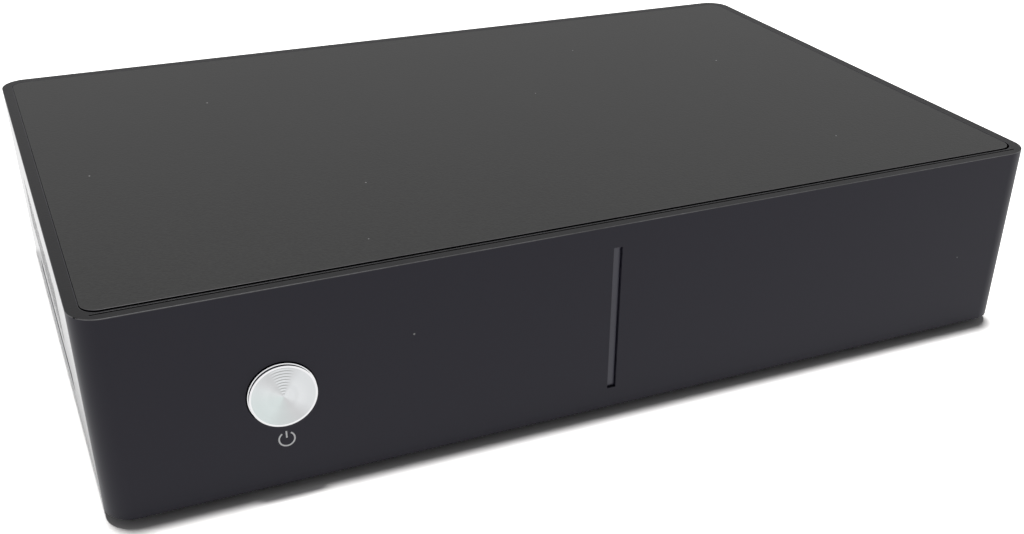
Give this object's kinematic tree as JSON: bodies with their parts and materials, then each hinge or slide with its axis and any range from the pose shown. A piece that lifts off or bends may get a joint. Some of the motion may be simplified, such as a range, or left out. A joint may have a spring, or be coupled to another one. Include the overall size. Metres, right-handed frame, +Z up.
{
  "type": "satellite tv receiver",
  "caption": "Low black set-top box with an inset top plate, a round push button and an upright light slot in front, and aerial, picture, data and power sockets behind.",
  "frame": {"origin": "on the shelf, under the middle of the whole receiver with its button and rear connectors", "axes": "+X to the right as seen from the front, the front faces -Y, +Z up"},
  "size_m": [0.2, 0.1394, 0.0424],
  "materials": {
    "shell_plastic": "satin black moulding with a faint violet tint",
    "plate_paint": "fine matt charcoal paint",
    "tray_plastic": "matt black moulding",
    "panel_paint": "matt black powder coat on sheet steel",
    "foot_rubber": "dull black rubber",
    "screw_steel": "zinc plated steel",
    "spring_steel": "bright spring wire",
    "button_aluminium": "spun face with a polished rim",
    "sink_aluminium": "plain extruded aluminium",
    "guide_plastic": "smoke-grey translucent moulding",
    "lamp_plastic": "clear resin lamp body",
    "chip_plastic": "matt black moulding compound",
    "socket_plastic": "satin black nylon",
    "cream_plastic": "off-white nylon",
    "board_laminate": "green solder mask on glass laminate",
    "tin_plate": "tin-plated sheet steel",
    "nickel_plate": "nickel plate"
  },
  "bodies": {
    "housing": {"housing_shell": "shell_plastic", "top_plate": "plate_paint", "base_tray": "tray_plastic", "rear_panel": "panel_paint", "foot_front_left": "foot_rubber", "foot_front_right": "foot_rubber", "foot_rear_left": "foot_rubber", "foot_rear_right": "foot_rubber", "base_screw_front_left": "screw_steel", "base_screw_front_right": "screw_steel", "base_screw_rear_left": "screw_steel", "base_screw_rear_right": "screw_steel", "board_screw_front_left": "screw_steel", "board_screw_front_right": "screw_steel", "board_screw_rear_left": "screw_steel", "board_screw_rear_right": "screw_steel", "front_board_screw_left": "screw_steel", "front_board_screw_right": "screw_steel", "panel_screw_left": "screw_steel", "panel_screw_right": "screw_steel", "power_button_spring": "spring_steel", "key_switch_body": "chip_plastic", "light_guide": "guide_plastic", "status_lamp_lower": "lamp_plastic", "status_lamp_upper": "lamp_plastic", "remote_eye": "chip_plastic", "front_board": "board_laminate", "ribbon_socket_front": "cream_plastic", "ribbon_socket_main": "cream_plastic", "front_ribbon": "cream_plastic", "main_board": "board_laminate", "processor": "chip_plastic", "heat_sink": "sink_aluminium", "memory_chip_upper": "chip_plastic", "memory_chip_lower": "chip_plastic", "flash_chip": "chip_plastic", "power_coil": "chip_plastic", "capacitor_front": "tin_plate", "capacitor_rear": "tin_plate", "card_reader": "tin_plate", "satellite_tuner": "tin_plate", "cable_tuner": "tin_plate", "lnb_connector_left": "nickel_plate", "lnb_connector_right": "nickel_plate", "aerial_connector": "nickel_plate", "hdmi_shell": "nickel_plate", "hdmi_insert": "socket_plastic", "usb_shell": "nickel_plate", "usb_insert": "cream_plastic", "network_socket": "nickel_plate", "optical_socket": "socket_plastic", "picture_sound_jack": "socket_plastic", "power_inlet": "socket_plastic", "rocker_switch_body": "chip_plastic"},
    "power_button": {"power_button_cap": "button_aluminium", "power_button_carrier": "socket_plastic"},
    "switch_plunger": {"key_switch_plunger": "socket_plastic"},
    "rocker": {"rocker_switch_key": "chip_plastic"},
    "shutter": {"optical_shutter": "socket_plastic"}
  },
  "joints": [
    {"name": "power_button_slide", "type": "slide", "parent": "housing", "child": "power_button", "axis": [0, 1, 0], "range_m": [0, 0.0006], "stiffness_N_per_m": 400, "springref_m": -0.0015, "deforming": ["power_button_spring"]},
    {"name": "switch_plunger_slide", "type": "slide", "parent": "housing", "child": "switch_plunger", "axis": [0, 1, 0], "range_m": [0, 0.0006]},
    {"name": "rocker_switch_tilt", "type": "hinge", "parent": "housing", "child": "rocker", "pos_m": [-0.08275, 0.0594, 0.0216], "axis": [1, 0, 0], "range_deg": [-16, 0]},
    {"name": "optical_shutter_swing", "type": "hinge", "parent": "housing", "child": "shutter", "pos_m": [-0.0425, 0.05945, 0.01725], "axis": [1, 0, 0], "range_deg": [-80, 0], "stiffness_Nm_per_rad": 0.00005, "springref_deg": 17.19}
  ],
  "couplings": [
    {"joint": "switch_plunger_slide", "follows": "power_button_slide", "ratio": 1}
  ]
}
